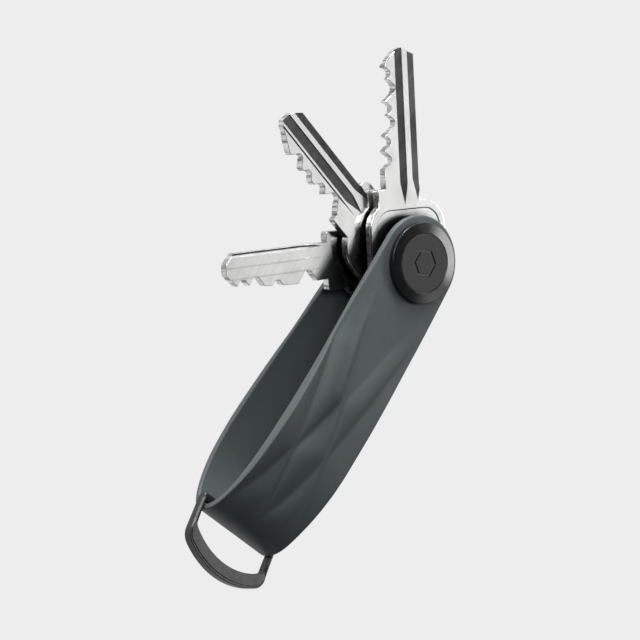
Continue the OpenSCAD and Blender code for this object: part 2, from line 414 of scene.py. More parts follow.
def key_material(name, light, dark, low_rough, high_rough, brush=0.10, painted_shade=None):
    """Polished nickel plate with fine lengthwise brush lines and small handling marks.
    painted_shade gives two radii about the post: inside the first the plate's colour is painted dark, painted
    shade that gives way to the plain plate by the second."""
    material, tree, shader = node_material(name)
    lines = noise(tree, 900, 4, 0.6, (0.12, 3.0, 1.0))
    smudge = noise(tree, 160, 3)
    colour = ramp(tree, smudge, [(0.25, dark), (0.6, light)])
    # Painted shade: the plate's colour is darkened round the post, standing in for the shade and dark
    # reflection on the bows.
    if painted_shade:
        painted_dark = ramp(tree, noise(tree, 420, 4, 0.6), [(0.35, 0.035), (0.65, 0.16)])
        colour = mix(tree, around_post(tree, *painted_shade), painted_dark, colour)
    tree.links.new(colour, shader.inputs["Base Color"])
    shader.inputs["Metallic"].default_value = 1.0
    tree.links.new(ramp(tree, lines, [(0.3, low_rough), (0.7, high_rough)]), shader.inputs["Roughness"])
    pits = ramp(tree, noise(tree, 1500, 2), [(0.60, 0.0), (0.72, 1.0)])
    bump(tree, shader, [(lines, brush, 0.02), (pits, 0.06, 0.01)])
    return material


def cut_material():
    """Milled side walls of a key: duller, with fine upright tool marks."""
    material, tree, shader = node_material("key_cut")
    marks = noise(tree, 1900, 3, 0.6, (1.0, 1.0, 0.12))
    tree.links.new(ramp(tree, marks, [(0.36, 0.20), (0.62, 0.78)]), shader.inputs["Base Color"])
    shader.inputs["Metallic"].default_value = 1.0
    tree.links.new(ramp(tree, marks, [(0.3, 0.38), (0.7, 0.24)]), shader.inputs["Roughness"])
    bump(tree, shader, [(marks, 0.25, 0.02)])
    return material


def turned_steel_material():
    """Bright turned steel with concentric tool marks."""
    material, tree, shader = node_material("turned_steel")
    place = tree.nodes.new("ShaderNodeTexCoord")
    wave = tree.nodes.new("ShaderNodeTexWave")
    wave.wave_type = "RINGS"
    wave.rings_direction = "Z"
    wave.inputs["Scale"].default_value = 1400
    wave.inputs["Distortion"].default_value = 0.6
    tree.links.new(place.outputs["Object"], wave.inputs["Vector"])
    vary(tree, shader, "Base Color", 500, 3, (0.36, 0.36, 0.37), 0.48)
    shader.inputs["Metallic"].default_value = 1.0
    tree.links.new(ramp(tree, wave.outputs["Fac"], [(0.0, 0.24), (1.0, 0.36)]), shader.inputs["Roughness"])
    bump(tree, shader, [(wave.outputs["Fac"], 0.15, 0.01)])
    return material


def plastic_material(name, low, high, rough):
    """Moulded plastic with a fine spark-eroded grain."""
    material, tree, shader = node_material(name)
    vary(tree, shader, "Base Color", 1500, 3, low, high)
    vary(tree, shader, "Roughness", 600, 2, rough, rough + 0.1)
    bump(tree, shader, [(noise(tree, 2600, 3), 0.2, 0.015)])
    return material


elastomer = band_material()
black_metal = black_metal_material()
inlay_grey = inlay_material()
ring_black = ring_material()
PLATE = ((0.86, 0.855, 0.85), (0.74, 0.735, 0.73), 0.13, 0.22)
nickel = key_material("key_nickel", *PLATE)
# Each key gets two radii of painted shade about its post, where the plate's colour is darkened.
nickel_of = {"key_1": key_material("key_nickel_1", *PLATE, painted_shade=(8.8, 11.6)),
             "key_2": key_material("key_nickel_2", *PLATE, painted_shade=(11.2, 14.6)),
             "key_3": key_material("key_nickel_3", *PLATE, painted_shade=(12.5, 21.5))}
nickel_cut = cut_material()
# Groove floors: rougher nickel with its colour painted darker, painted shade in the grooves.
groove_painted_shade = key_material("key_groove_painted_shade", 0.30, 0.18, 0.28, 0.42, brush=0.25)
steel = turned_steel_material()
black_plastic = plastic_material("spacer_black", (0.010, 0.010, 0.0105), (0.016, 0.016, 0.0165), 0.42)
nylon = plastic_material("washer_nylon", (0.55, 0.53, 0.48), (0.66, 0.64, 0.59), 0.5)


# ---- band ----
DARK_SLOPES = (0.80, 0.88, 0.38, 0.40)    # steepness on the -Y side of each crease, from the -Y edge up
LIGHT_SLOPES = (0.50, 0.64, 0.62, 0.27)   # and on its +Y side
DARK_TURN = 0.50           # how much steeper the -Y side is where a crease runs towards +Y
LIGHT_TURN = 1.20          # and the +Y side
TURN_REACH = 4.0           # how far either way that direction is taken over
CREASE_MEET = 0.35         # half of what is left between two creases where they meet
CREASE_SOFT = 0.20         # rounding at the bottom of a crease
LOWER_RIM_REACH = 1.8      # how far from a crease the strip along the -Y edge keeps on rising
UPPER_RIM_REACH = 2.2      # and the strip along the +Y edge
CREASE_SINK = 0.45         # depth of the creases below the plain band
BACK_SHARE = 0.34          # height of the pattern on the back strap against the front one
BACK_SINK = 0.30           # how far it is sunk there, so that the belly stays the lowest place
CREASE_KNOTS = (           # where the four creases run: distance along the strap and across it
    ((12, 9.2), (25, 7.5), (44.5, 3.85), (62.3, -0.3)),
    ((12, 5.6), (33, 0.2), (46.7, -4.15), (62, -8.8)),
    ((12, -5.2), (33, 0.2), (44.5, 3.85), (59, 8.4)),
    ((24, -9.6), (35, -7.0), (46.7, -4.15), (62.3, -0.3)))
CREASE_END = 70            # the creases run level beyond this distance
LEVEL_END = 33             # the middle of the strap stays level up to here, where two creases meet
PATTERN_RISE = (8, 24)     # distances between which the pattern grows to its full height
PATTERN_FADE = (55, 66)    # and between which it dies away
SINK_RISE = (10, 25)       # distances between which the back strap's pattern is sunk
SAMPLE_STEP = 0.34         # spacing of the band's mesh
EDGE_R = 0.30              # rounding of the band's edges
FOLD_HALF_W = 9.57         # half of the band's width at the fold
SEAT = (0.45 / 1.4, 0.95 / 1.4)       # shares of the thickness between which the eyelet's ridge sits


def cubic(points, u):
    """Points on a Bezier curve with four control points."""
    p = np.array(points, float)
    u = np.asarray(u)[:, None]
    return (1 - u) ** 3 * p[0] + 3 * (1 - u) ** 2 * u * p[1] + 3 * (1 - u) * u * u * p[2] + u ** 3 * p[3]


def loop_table():
    """Outer face of the band from one end's hole to the other's: distance along it, x, z and normal.
    The inner points of each curve are its handles, with their lengths in millimetres."""
    start = (20.7, front_z)
    turn = (fold_x, front_z - 12.35)
    belly = (51.6, belly_z)
    end = (9.0, back_z)
    u = np.linspace(0, 1, 160)
    front = cubic([start, (start[0] + 22, front_z), (fold_x, turn[1] + 10), turn], u)
    fold = cubic([turn, (fold_x, turn[1] - 3.5), (belly[0] + 7.2, belly_z), belly], u)
    back = cubic([belly, (belly[0] - 10.5, belly_z), (end[0] + 3.6, back_z), end], u)
    line = np.vstack([[(0, front_z)], front, fold[1:], back[1:], [(0, back_z)]])
    along = np.concatenate([[0], np.cumsum(np.linalg.norm(np.diff(line, axis=0), axis=1))])
    even = np.linspace(0, along[-1], 1400)
    x = np.interp(even, along, line[:, 0])
    z = np.interp(even, along, line[:, 1])
    tangent = np.stack([np.gradient(x), np.gradient(z)], 1)
    tangent /= np.linalg.norm(tangent, axis=1)[:, None]
    return even, x, z, -tangent[:, 1], tangent[:, 0]


loop_s, loop_x, loop_z, loop_nx, loop_nz = loop_table()
loop_length = loop_s[-1]


def on_band(s, y, depth):
    """Point at a distance along the band, across it, and below its outer face.
    Beyond the holes the band is straight."""
    clamped = np.clip(s, 0, loop_length)
    past = s - clamped
    nx = np.interp(clamped, loop_s, loop_nx)
    nz = np.interp(clamped, loop_s, loop_nz)
    x = np.interp(clamped, loop_s, loop_x) + np.where(past < 0, past, -past)
    z = np.interp(clamped, loop_s, loop_z)
    return np.stack([x - nx * depth, y, z - nz * depth], -1)


def half_width(s):
    """Half of the band's width: widest halfway along, narrower at the fold and the round ends."""
    x = np.interp(np.clip(s, 0, loop_length), loop_s, loop_x)
    return np.interp(x, [0, 15, 45, fold_x], [end_r, band_half_w, band_half_w, FOLD_HALF_W])


def crease_lines(x):
    """Where the four long creases run across the strap, at each distance along it."""
    lines = []
    for points in CREASE_KNOTS:
        px, py = np.array(points, float).T
        lines.append(np.polyval(np.polyfit(px, py, 3), np.clip(x, px[0], CREASE_END)))
    return lines


def smooth_step(value, low, high):
    """0 below low and 1 above high, with a soft rise between."""
    t = np.clip((value - low) / (high - low), 0, 1)
    return t * t * (3 - 2 * t)


def ranked_creases(x):
    """The creases in order from the -Y edge. Two that meet turn away from each other in a short curve."""
    ranked = np.sort(np.array(crease_lines(x)), axis=0)
    apart = np.diff(ranked, axis=0)
    push = (np.sqrt(apart ** 2 + 4 * CREASE_MEET ** 2) - apart) / 2
    ranked[:-1] -= push
    ranked[1:] += push
    return ranked


def relief(s, y):
    """Height of the moulded pattern: long pillows between crossing creases, alike on both straps."""
    x = np.minimum(s, loop_length - s)
    ranked = ranked_creases(x)
    towards = (ranked_creases(x + TURN_REACH) - ranked_creases(x - TURN_REACH)) / 2 / TURN_REACH
    dark = [slope * np.exp(DARK_TURN * turn) for slope, turn in zip(DARK_SLOPES, towards)]
    light = [slope * np.exp(LIGHT_TURN * turn) for slope, turn in zip(LIGHT_SLOPES, towards)]
    gaps = np.sqrt((y - ranked) ** 2 + CREASE_SOFT ** 2) - CREASE_SOFT
    height = light[3] * UPPER_RIM_REACH * (1 - np.exp(-gaps[3] / UPPER_RIM_REACH))
    lower_rim = dark[0] * LOWER_RIM_REACH * (1 - np.exp(-gaps[0] / LOWER_RIM_REACH))
    height = np.where(y < ranked[0], lower_rim, height)
    for k in range(3):
        spread = gaps[k + 1] / light[k] + gaps[k] / dark[k + 1]
        pillow = gaps[k] * gaps[k + 1] / np.maximum(spread, 0.01)
        height = np.where((y >= ranked[k]) & (y < ranked[k + 1]), pillow, height)
    level = (y < ranked[2]) & (y > ranked[1]) & (x < LEVEL_END)
    height = np.where(level, 0, height) - CREASE_SINK
    height = height * smooth_step(x, *PATTERN_RISE) * (1 - smooth_step(x, *PATTERN_FADE))
    back = smooth_step(s, loop_length / 2 - 4, loop_length / 2 + 4)
    sunk = height * BACK_SHARE - BACK_SINK * smooth_step(x, *SINK_RISE)
    return height + (sunk - height) * back


def quads_between(a, b):
    """Quads between two closed rings of point numbers."""
    return [(a[i], a[(i + 1) % len(a)], b[(i + 1) % len(a)], b[i]) for i in range(len(a))]


def end_patch(flat, faces, origin, side, join_row, join):
    """Adds a round end with its hole, about origin; side is 1 at the band's start and -1 at its far end.
    Gives back the point numbers of its rim and of its hole."""
    steps = 20
    layers = 9
    edge = list(join_row)
    straight = [join * (1 - k / steps) for k in range(1, steps)]
    rim = [(x, half_width(x) - EDGE_R) for x in straight]
    rim += arc(0, 0, end_r - EDGE_R, 90, 270, 60)
    rim += [(x, -y) for x, y in reversed(rim[: steps - 1])]
    for x, y in rim:
        edge.append(len(flat))
        flat.append((origin + side * x, y))
    outer = [np.array(flat[i]) for i in edge]
    holes = []
    for point in outer:
        away = point - (origin, 0)
        holes.append((origin, 0) + away / np.linalg.norm(away) * eyelet_r)
    rings = [edge]
    for k in range(1, layers + 1):
        rings.append(list(range(len(flat), len(flat) + len(outer))))
        flat += [tuple(point + (hole - point) * k / layers) for point, hole in zip(outer, holes)]
    for a, b in zip(rings, rings[1:]):
        faces += [quad if side > 0 else quad[::-1] for quad in quads_between(a, b)]
    return edge[len(join_row):], rings[-1]


def edge_levels():
    """Steps down the band's rounded edge: share of EDGE_R outward, depth, and share of the relief."""
    steps = 5
    turns = [(math.sin(a), 1 - math.cos(a)) for a in np.radians(np.linspace(0, 90, steps + 1))][1:]
    levels = [(out, EDGE_R * down, 1) for out, down in turns]
    return levels + [(out, band_t - EDGE_R * down, 0) for out, down in reversed(turns)]


def band():
    join = end_r + 0.9
    rows = int((loop_length - 2 * join) / SAMPLE_STEP)
    columns = int(2 * band_half_w / SAMPLE_STEP)
    wide = columns + 1
    row_s = np.linspace(join, loop_length - join, rows + 1)
    flat = [(s, v * (half_width(s) - EDGE_R)) for s in row_s for v in np.linspace(-1, 1, wide)]
    starts = [i * wide + j for i in range(rows) for j in range(columns)]
    faces = [(a, a + wide, a + wide + 1, a + 1) for a in starts]
    start_rim, start_hole = end_patch(flat, faces, 0, 1, range(wide), join)
    end_rim, end_hole = end_patch(flat, faces, loop_length, -1, range(rows * wide, (rows + 1) * wide), join)
    count = len(flat)
    outline = [i * wide for i in range(rows + 1)] + end_rim[::-1]
    outline += [i * wide + columns for i in range(rows, -1, -1)] + start_rim

    flat = np.array(flat, float)
    top = on_band(flat[:, 0], flat[:, 1], -relief(flat[:, 0], flat[:, 1]))
    bottom = on_band(flat[:, 0], flat[:, 1], band_t)
    points = [top, bottom]
    faces += [tuple(i + count for i in face[::-1]) for face in faces]
    rim = flat[outline]
    outward = normals_of(rim)
    raised = relief(rim[:, 0], rim[:, 1])
    total = 2 * count
    rings = [outline]
    for out, depth, lift in edge_levels():
        place = rim + outward * EDGE_R * out
        points.append(on_band(place[:, 0], place[:, 1], depth - lift * raised))
        rings.append(list(range(total, total + len(rim))))
        total += len(rim)
    rings.append([i + count for i in outline])
    for a, b in zip(rings, rings[1:]):
        faces += [(quad[0], quad[3], quad[2], quad[1]) for quad in quads_between(a, b)]

    groove = [(eyelet_r, SEAT[0]), (eyelet_ridge_r, SEAT[0]), (eyelet_ridge_r, SEAT[1]), (eyelet_r, SEAT[1])]
    for hole, origin, flip in ((start_hole, 0, 1), (end_hole, loop_length, -1)):
        around = (flat[hole] - (origin, 0)) / eyelet_r
        rings = [hole]
        for radius, share in groove:
            place = (origin, 0) + around * radius
            points.append(on_band(place[:, 0], place[:, 1], share * band_t))
            rings.append(list(range(total, total + len(hole))))
            total += len(hole)
        rings.append([i + count for i in hole])
        for a, b in zip(rings, rings[1:]):
            faces += [quad[::flip] for quad in quads_between(a, b)]
    obj = new_object("band_moulded", np.vstack(points), faces, [elastomer])
    smooth(obj, 50, weighted=False)
    return fit(obj, "organiser", "band_rubber", "band")


# ---- buttons, post, spacers, eyelets ----
def front_button():
    """Cap with a shallow cone, a seat for the inlay and a six-sided socket for the post's head."""
    wall_z = front_z + BUTTON_WALL
    seat_r = inlay_r + 0.03
    profile = rounded([
        (button_r - 0.05, front_z, 0.05), (button_r, front_z + 0.12, 0.05), (button_r, wall_z, 0.10),
        (inlay_r + 0.16, 0.0, 0.06), (seat_r, -0.06, 0.02), (seat_r, -0.6, 0)], 4)
    hex_r = 3.5 / math.cos(math.pi / 6)
    profile += [(0, -0.6), (0, front_z + 0.6), (hex_r, front_z + 0.6), (hex_r, front_z)]
    last = len(profile) - 1
    obj = lathe("front_button_turned", profile, [black_metal], sides={last: 6, last - 1: 6})
    return fit(smooth(obj), "organiser", "black_metal", "front_button")


def button_inlay():
    """Flat disc with a shallow six-sided groove."""
    low, high = box_mm("button_inlay")
    disc = lathe("button_inlay_disc", [
        (0, low[2]), (inlay_r, low[2]), (inlay_r, high[2] - 0.05), (inlay_r - 0.02, high[2] - 0.015),
        (inlay_r - 0.06, high[2]), (0, high[2])], [inlay_grey])
    outer = [(3.05 * math.cos(a), 3.05 * math.sin(a)) for a in np.radians(np.arange(0, 360, 60))]
    inner = [(x * 0.80, y * 0.80) for x, y in outer]
    points = []
    for z, outward, inward in ((high[2] + 0.05, 1.01, 0.98), (high[2] - 0.22, 0.985, 1.02)):
        points += [(x * outward, y * outward, z) for x, y in outer]
        points += [(x * inward, y * inward, z) for x, y in inner]
    faces = []
    for i in range(6):
        j = (i + 1) % 6
        faces += [(i, j, 6 + j, 6 + i), (12 + i, 18 + i, 18 + j, 12 + j)]
        faces += [(i, 12 + i, 12 + j, j), (6 + i, 6 + j, 18 + j, 18 + i)]
    groove = new_object("groove_cutter", points, faces, [black_metal])
    boolean(disc, [groove])
    return fit(smooth(disc, 20), "organiser", "inlay_metal", "button_inlay")


def spacer(node):
    low, high = box_mm(node)
    bore = post_r + 0.03
    profile = chamfered([(bore, low[2]), (spacer_r, low[2]), (spacer_r, high[2]), (bore, high[2])], 0.12, 3)
    obj = lathe(node + "_moulded", profile, [black_plastic])
    return fit(smooth(obj), "organiser", "spacer_plastic", node)


def eyelet(node):
    """Hard ring with a ridge round its middle, which the elastomer grips."""
    low, high = box_mm(node)
    bore = post_r + 0.05
    ridge_r = eyelet_ridge_r - 0.01
    middle = (low[2] + high[2]) / 2
    ridge_low, ridge_high = middle - 0.24, middle + 0.24
    profile = chamfered([
        (bore, low[2]), (eyelet_r, low[2]), (eyelet_r, ridge_low), (ridge_r, ridge_low),
        (ridge_r, ridge_high), (eyelet_r, ridge_high), (eyelet_r, high[2]), (bore, high[2])], 0.06, 2)
    obj = lathe(node + "_turned", profile, [black_metal])
    return fit(smooth(obj), "organiser", "eyelet_metal", node)


def post():
    """Binding post: hexagon head, polished barrel and a threaded bore."""
    low, high = box_mm("post")
    hex_r = 3.45 / math.cos(math.pi / 6)
    root, crest = 2.22, 2.06
    floor_z = low[2] + 9.2
    z = floor_z - 0.3
    profile = [(0, floor_z), (1.75, z)]
    while z > low[2] + 1.2:
        profile += [(root, z - THREAD_PITCH * 0.5), (crest, z - THREAD_PITCH)]
        z -= THREAD_PITCH
    profile += [(crest, low[2] + 0.25), (2.3, low[2]), (post_r - 0.2, low[2]), (post_r, low[2] + 0.2)]
    profile += [(post_r, front_z), (hex_r, front_z), (hex_r, high[2]), (0, high[2])]
    count = len(profile)
    obj = lathe("post_turned", profile, [steel], sides={count - 3: 6, count - 2: 6})
    return fit(smooth(obj), "organiser", "steel", "post")


# ---- keys ----
BOW_EDGE = 0.34            # rounding of a bow's edges
BLADE_EDGE = 0.10          # rounding of a blade's edges
CUT_FLAT = 1.0             # flat width at the bottom of a cut
CUT_SLOPE = 1.3            # steepness of a cut's sides
RIM_W = 1.5                # width of the raised rim round a bow
RIM_H = 0.2                # height of that rim
GROOVE_END = 60            # the grooves' cutters end here, beyond the tip


def cut_edge(top, cuts, start, end):
    """The blade's cut edge, from its tip back to its shoulder."""
    tx, ty = np.array(top, float).T
    x = np.arange(start, end, -0.1)
    y = np.interp(x, tx, ty)
    for cut_x, cut_y in cuts:
        y = np.minimum(y, cut_y + CUT_SLOPE * np.maximum(0, abs(x - cut_x) - CUT_FLAT / 2))
    kept = [0]
    for i in range(1, len(x) - 1):
        if abs(y[i - 1] - 2 * y[i] + y[i + 1]) > 0.02:
            kept.append(i)
    kept.append(len(x) - 1)
    return [(float(x[i]), float(y[i])) for i in kept]


def bow_arcs(low, high, r, shoulder):
    """The bow's outline from where the shoulder's top meets it, round to where its bottom does."""
    def meeting(y, centre_y):
        return math.degrees(math.asin(np.clip((y - centre_y) / r, -1, 1)))

    upper = max(0, meeting(shoulder[1][1], high[1] - r))
    lower = min(0, meeting(shoulder[0][1], low[1] + r))
    points = arc(high[0] - r, high[1] - r, r, upper, 90, 14)
    points += arc(low[0] + r, high[1] - r, r, 90, 180, 14)
    points += arc(low[0] + r, low[1] + r, r, 180, 270, 14)
    points += arc(high[0] - r, low[1] + r, r, 270, 360 + lower, 14)
    return points


def groove_cutter(low, high, start, depths, side, metal, thickness):
    """Long milled groove with a leaning floor, sloping walls and a pointed run-out at the bow end.
    depths are those of its floor along the low and the high side."""
    middle = (low + high) / 2
    wall = min(0.12 + 0.25 * max(depths), (high - low) * 0.25)
    above = 0.3
    middle_depth = sum(depths) / 2

    def outline(grow, z_low, z_high):
        full = start + 4.5
        return [(start - 2.4 * grow, middle, (z_low + z_high) / 2),
                (full, low - grow, z_low), (GROOVE_END, low - grow, z_low),
                (GROOVE_END, high + grow, z_high), (full, high + grow, z_high)]

    points = outline(-wall, -depths[0], -depths[1]) + outline(above * wall / middle_depth, above, above)
    if side < 0:
        points = [(x, y, -thickness - z) for x, y, z in points]
    faces = [(4, 3, 2, 1, 0), (5, 6, 7, 8, 9)]
    faces += [(i, (i + 1) % 5, 5 + (i + 1) % 5, 5 + i) for i in range(5)]
    faces = [(face[0], face[k], face[k + 1]) for face in faces for k in range(1, len(face) - 1)]
    if side < 0:
        faces = [face[::-1] for face in faces]
    return new_object("groove", points, faces, [metal])


def recess_cutter(low, high, r, z, side, metal):
    """Shallow pocket inside the bow's rim, with sloping walls."""
    slope = 0.22
    rings = []
    for grow, rise in ((-slope, -RIM_H), (slope * 1.5, RIM_H * 1.5)):
        outline = rounded([
            (low[0] - grow, low[1] - grow, r + grow), (high[0] + grow, low[1] - grow, r + grow),
            (high[0] + grow, high[1] + grow, r + grow), (low[0] - grow, high[1] + grow, r + grow)], 10)
        rings.append([(x, y, z + side * rise) for x, y in outline])
    count = len(rings[0])
    faces = grid_faces(2, count) + caps(2, count)
    if side < 0:
        faces = [face[::-1] for face in faces]
    return new_object("recess", rings[0] + rings[1], faces, [metal])


def bore_cutter(thickness):
    """The key's hole on the post, with chamfered rims."""
    hole_r = post_r + 0.07
    wide_r = hole_r + 1.1
    profile = [(0, -thickness - 1), (wide_r, -thickness - 1), (hole_r, -thickness + 0.1), (hole_r, -0.1),
               (wide_r, 1), (0, 1)]
    return lathe("bore", profile, [nickel], segments=96)


def key_outline(bow, blade):
    """Anticlockwise round the blade's spine, tip and cut edge, then the shoulder and the bow."""
    (low_x, low_y), (high_x, high_y) = blade["shoulder"]
    spine_y = blade["spine"][0][1]
    outline = [(bow["high"][0], spine_y)]
    if low_y < spine_y:
        tab = [(bow["high"][0] - 2, low_y, 0), (high_x, low_y, blade["tab_r"]), (high_x, spine_y, 0)]
        outline = rounded(tab, 6)[1:]
    outline += blade["spine"][1:]
    outline += cut_edge(blade["top"], blade["cuts"], blade["top"][-1][0] - 0.05, high_x)
    outline += rounded([(high_x, high_y - 2, 0), (high_x, high_y, 0.5), (low_x, high_y, 0)], 5)[1:-1]
    return outline + bow_arcs(bow["low"], bow["high"], bow["r"], blade["shoulder"])


def key(node, body, bow, blade):
    """One key, made lying along +X with its upper face at z = 0, then turned and lowered to its place."""
    low, high = box_mm(node)
    thickness = high[2] - low[2]
    joint = next(j for j in frame["joints"] if j["child"] == body)
    outline = key_outline(bow, blade)
    neck_x = blade["shoulder"][0][0]
    edge = [BLADE_EDGE + (BOW_EDGE - BLADE_EDGE) * float(smooth_step(neck_x - x, -1.5, 0.5))
            for x, _ in outline]
    plate = nickel_of[node]
    obj = prism(node + "_nickel", outline, -thickness, 0, [plate, nickel_cut], edge, 4, 1)
    inner = ([v + RIM_W for v in bow["low"]], [v - RIM_W for v in bow["high"]], bow["r"] - RIM_W)
    cutters = [recess_cutter(*inner, 0, 1, plate), recess_cutter(*inner, -thickness, -1, plate)]
    cutters.append(bore_cutter(thickness))
    cutters += [groove_cutter(*groove, thickness) for groove in blade["grooves"]]
    boolean(obj, cutters)
    smooth(obj, 30)
    turn = Matrix.Rotation(math.radians(-joint["range_deg"][1]), 4, "Z")
    obj.data.transform(Matrix.Translation((0, 0, high[2] * MM)) @ turn)
    return fit(obj, body, "key_nickel", node)


def keys():
    """The three keys: bow corners, blade outline, cuts (place, height) and grooves (low, high, start, depths,
    side, metal)."""
    key("key_1", "front_key", {"low": (-7, -9.9), "high": (12.5, 10.1), "r": 5.5}, {
        "spine": [(15.2, -3.4), (42, -3.4), (43.4, -0.2), (43, 1.2)],
        "top": [(5, 5.9), (19.2, 5.5), (39.6, 4.4), (41, 3.7), (43, 1.25)],
        "cuts": [(38.2, 3.1), (35.3, 1.9), (31.2, 3.2), (28.4, 2.4), (24.6, 3.8), (21, 3.7)],
        "shoulder": ((11, -3.4), (15.2, 7.6)), "tab_r": 0.5,
        "grooves": [(-0.3, 1.7, 11.7, (0.2, 0.6), 1, groove_painted_shade),
                    (-3.9, -1.6, 12.5, (0.2, 0.45), 1, groove_painted_shade),
                    (2.2, 4.2, 12.5, (0.4, 0.5), -1, nickel)]})
    key("key_2", "middle_key", {"low": (-7, -9.5), "high": (14.5, 9.7), "r": 6}, {
        "spine": [(18.9, -3.2), (39.2, -3.2), (41.2, -1), (41.4, 1.1)],
        "top": [(5, 5), (19, 5), (36, 4.6), (40.5, 2.2), (41.4, 1.15)],
        "cuts": [(33.6, 3), (29.8, 3.7), (25.6, 3.2), (21.9, 2.1)],
        "shoulder": ((13, -5.4), (18.9, 6.4)), "tab_r": 2,
        "grooves": [(-3.5, -1.7, 14.7, (0.15, 0.4), 1, groove_painted_shade),
                    (-0.7, 1.5, 14.6, (0.15, 0.42), 1, groove_painted_shade),
                    (1.95, 2.3, 15.5, (0.1, 0.18), 1, groove_painted_shade),
                    (2.2, 3.2, 14.6, (0.3, 0.3), -1, nickel)]})
    key("key_3", "rear_key", {"low": (-7, -10), "high": (13, 7), "r": 5.5}, {
        "spine": [(17.3, -5.7), (40, -5.7), (42, -3.7), (42.2, -1.6)],
        "top": [(5, 1.7), (18, 1.7), (26.5, 1.9), (37.2, 1.1), (39.6, 0.9), (40.9, -0.5), (42.2, -1.55)],
        "cuts": [(38.3, -0.3), (35.1, -0.6), (30, 0.6), (22.4, -0.7)],
        "shoulder": ((12, -7.8), (17.3, 4.1)), "tab_r": 0.6,
        "grooves": [(-5.6, -4.7, 18.5, (0.34, 0.05), 1, groove_painted_shade),
                    (-3.0, -2.75, 18.5, (0.1, 0.1), 1, nickel), (-0.75, -0.5, 18.5, (0.1, 0.1), 1, nickel),
                    (-2.2, -0.8, 15.5, (0.3, 0.3), -1, nickel)]})


# ---- screw at the back ----
HEAD_T = 0.95              # thickness of the screw's head


def friction_washer():
    low, high = box_mm("friction_washer")
    profile = chamfered([(2.1, low[2]), (high[0], low[2]), (high[0], high[2]), (2.1, high[2])], 0.06, 2)
    obj = lathe("friction_washer_disc", profile, [nylon])
    return fit(smooth(obj), "screw_washer", "washer_nylon", "friction_washer")


def back_button():
    """Cap like the front one, sunk for the screw's head outside and for the washer inside."""
    top = box_mm("back_button")[1][2]
    bore, washer_r, head_r = 2.05, 5.3, 4.56
    head_z = back_rest_z + HEAD_T
    washer_z = top - 0.325
    profile = rounded([
        (bore, head_z, 0), (head_r, head_z, 0), (head_r, back_rest_z + 0.1, 0.05),
        (head_r + 0.12, back_rest_z, 0.03), (inlay_r, back_rest_z, 0.1), (button_r, top - BUTTON_WALL, 0.12),
        (button_r, top - 0.06, 0.04), (button_r - 0.06, top, 0.03), (washer_r, top, 0),
        (washer_r, washer_z, 0), (bore, washer_z, 0)], 4)
    obj = lathe("back_button_turned", profile, [black_metal])
    return fit(smooth(obj), "screw", "black_metal", "back_button")


def coin_screw():
    """Slotted head and a threaded shank."""
    low, high = box_mm("coin_screw")
    head_r = high[0]
    head_z = low[2] + HEAD_T
    profile = chamfered([(0, low[2]), (head_r, low[2]), (head_r, head_z), (0, head_z)], 0.12, 3)
    head = lathe("coin_screw_steel", profile, [steel], segments=96)
    slot_outline = [(-6, -0.85), (6, -0.85), (6, 0.85), (-6, 0.85)]
    slot = prism("slot", slot_outline, low[2] - 1, low[2] + 0.6, [steel], 0.08, 2)
    boolean(head, [slot])
    smooth(head)
    root, crest = 1.72, 1.99
    segments = 64
    per_turn = 4
    rows = int((high[2] - 0.3 - head_z) / THREAD_PITCH * per_turn)
    points = []
    for k in range(rows + 1):
        z = head_z - 0.1 + k * THREAD_PITCH / per_turn
        taper = min(1, (rows - k) / 5)
        for i in range(segments):
            a = 2 * math.pi * i / segments
            phase = (k / per_turn - a / (2 * math.pi)) % 1
            ridge = 1 - min(1, abs(phase - 0.5) * 2.6)
            r = root + (crest - root) * max(0, ridge) * taper
            points.append((r * math.cos(a), r * math.sin(a), z))
    faces = grid_faces(rows + 1, segments) + caps(rows + 1, segments)
    shank = new_object("coin_screw_thread", points, faces, [steel])
    smooth(shank, 60)
    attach(shank, "screw")
    return fit(head, "screw", "steel", "coin_screw")


# ---- ring in the fold ----
RING_BAR_R = 0.95          # half of the ring's thickness
RING_LEAN = 12             # how far the ring leans back at rest, in degrees


def bow_line(half, crown, r, corner):
    """Half-open outline from the lower leg's root, round the bow, to the upper leg's root."""
    arc_x = crown - r
    corner_y = half - corner
    corner_x = arc_x + math.sqrt((r - corner) ** 2 - corner_y ** 2)
    meet = math.degrees(math.atan2(corner_y, corner_x - arc_x))
    points = [(corner_x * k / 8, -half) for k in range(8)]
    points += arc(corner_x, -corner_y, corner, -90, -meet, 12)
    points += arc(arc_x, 0, r, -meet, meet, 40)[1:-1]
    points += arc(corner_x, corner_y, corner, meet, 90, 12)
    points += [(corner_x * (7 - k) / 8, half) for k in range(8)]
    return np.array(points)


